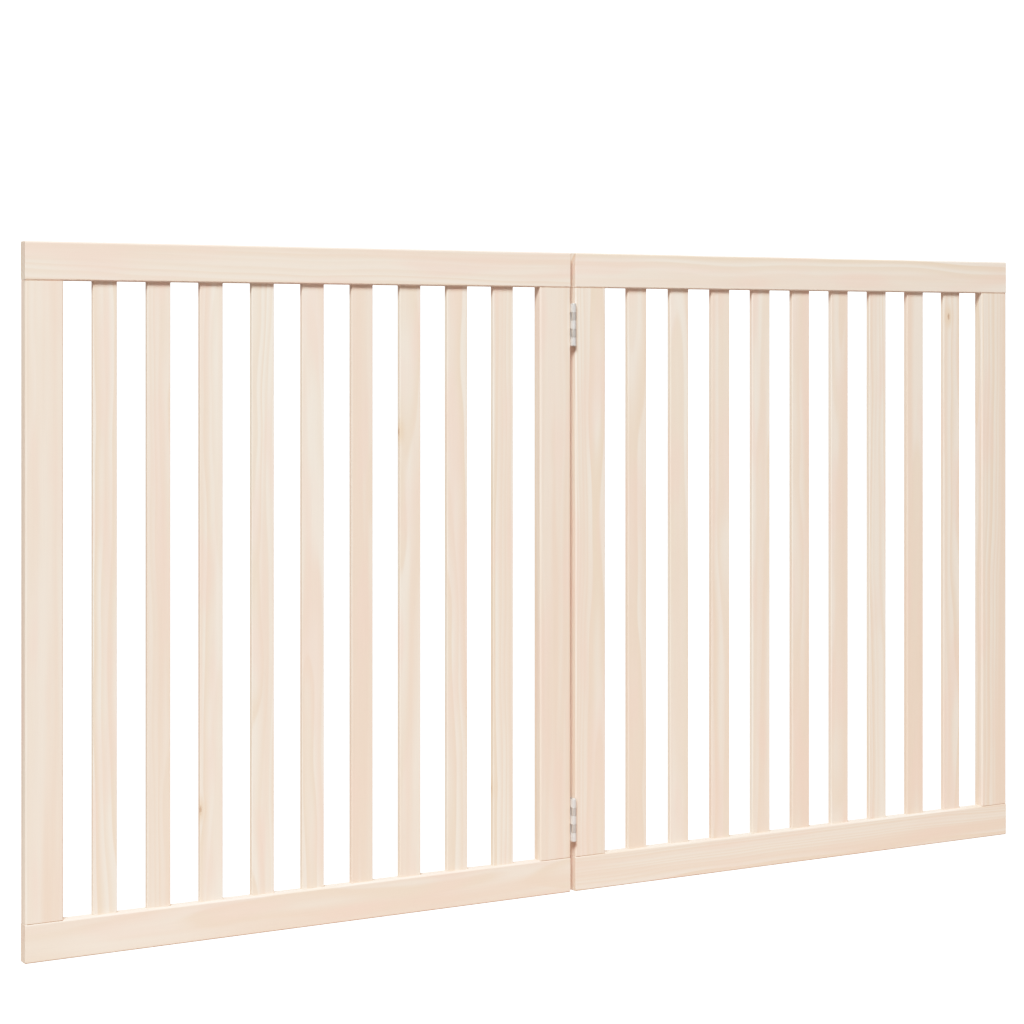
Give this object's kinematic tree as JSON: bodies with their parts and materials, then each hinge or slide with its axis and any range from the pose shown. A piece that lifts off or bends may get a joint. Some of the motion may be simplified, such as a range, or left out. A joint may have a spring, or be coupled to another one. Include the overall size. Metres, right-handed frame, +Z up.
{
  "type": "pet gate",
  "caption": "Folding freestanding wooden pet gate: slatted pine panels in rail and stile frames, joined edge to edge by steel butt hinges.",
  "frame": {"origin": "on the floor, under the middle of the gate's bounding box; the seam between the panels is at x = 0", "axes": "+X along the gate towards the panel that folds, +Y from the front faces (hinge side) to the back, +Z up"},
  "size_m": [1.2442, 0.0181, 0.7],
  "materials": {
    "pine_frame": "planed pale pine, unvarnished, fine straight grain",
    "pine_slats": "planed pale pine, unvarnished, fine straight grain",
    "beech_dowels": "turned beech, plain",
    "hinge_steel": "zinc plated, satin",
    "screw_steel": "zinc plated, satin"
  },
  "bodies": {
    "left_panel": {"left_top_rail": "pine_frame", "left_bottom_rail": "pine_frame", "left_outer_stile": "pine_frame", "left_inner_stile": "pine_frame", "left_slat_1": "pine_slats", "left_slat_2": "pine_slats", "left_slat_3": "pine_slats", "left_slat_4": "pine_slats", "left_slat_5": "pine_slats", "left_slat_6": "pine_slats", "left_slat_7": "pine_slats", "left_slat_8": "pine_slats", "left_slat_9": "pine_slats", "left_dowels": "beech_dowels", "upper_hinge_left_leaf": "hinge_steel", "lower_hinge_left_leaf": "hinge_steel", "upper_hinge_left_screws": "screw_steel", "lower_hinge_left_screws": "screw_steel", "upper_hinge_pin": "hinge_steel", "lower_hinge_pin": "hinge_steel"},
    "right_panel": {"right_top_rail": "pine_frame", "right_bottom_rail": "pine_frame", "right_outer_stile": "pine_frame", "right_inner_stile": "pine_frame", "right_slat_1": "pine_slats", "right_slat_2": "pine_slats", "right_slat_3": "pine_slats", "right_slat_4": "pine_slats", "right_slat_5": "pine_slats", "right_slat_6": "pine_slats", "right_slat_7": "pine_slats", "right_slat_8": "pine_slats", "right_slat_9": "pine_slats", "right_dowels": "beech_dowels", "upper_hinge_right_leaf": "hinge_steel", "lower_hinge_right_leaf": "hinge_steel", "upper_hinge_right_screws": "screw_steel", "lower_hinge_right_screws": "screw_steel"}
  },
  "joints": [
    {"name": "panel_fold", "type": "hinge", "parent": "left_panel", "child": "right_panel", "pos_m": [0, -0.00625, 0.35], "axis": [0, 0, -1], "range_deg": [0, 180]}
  ]
}
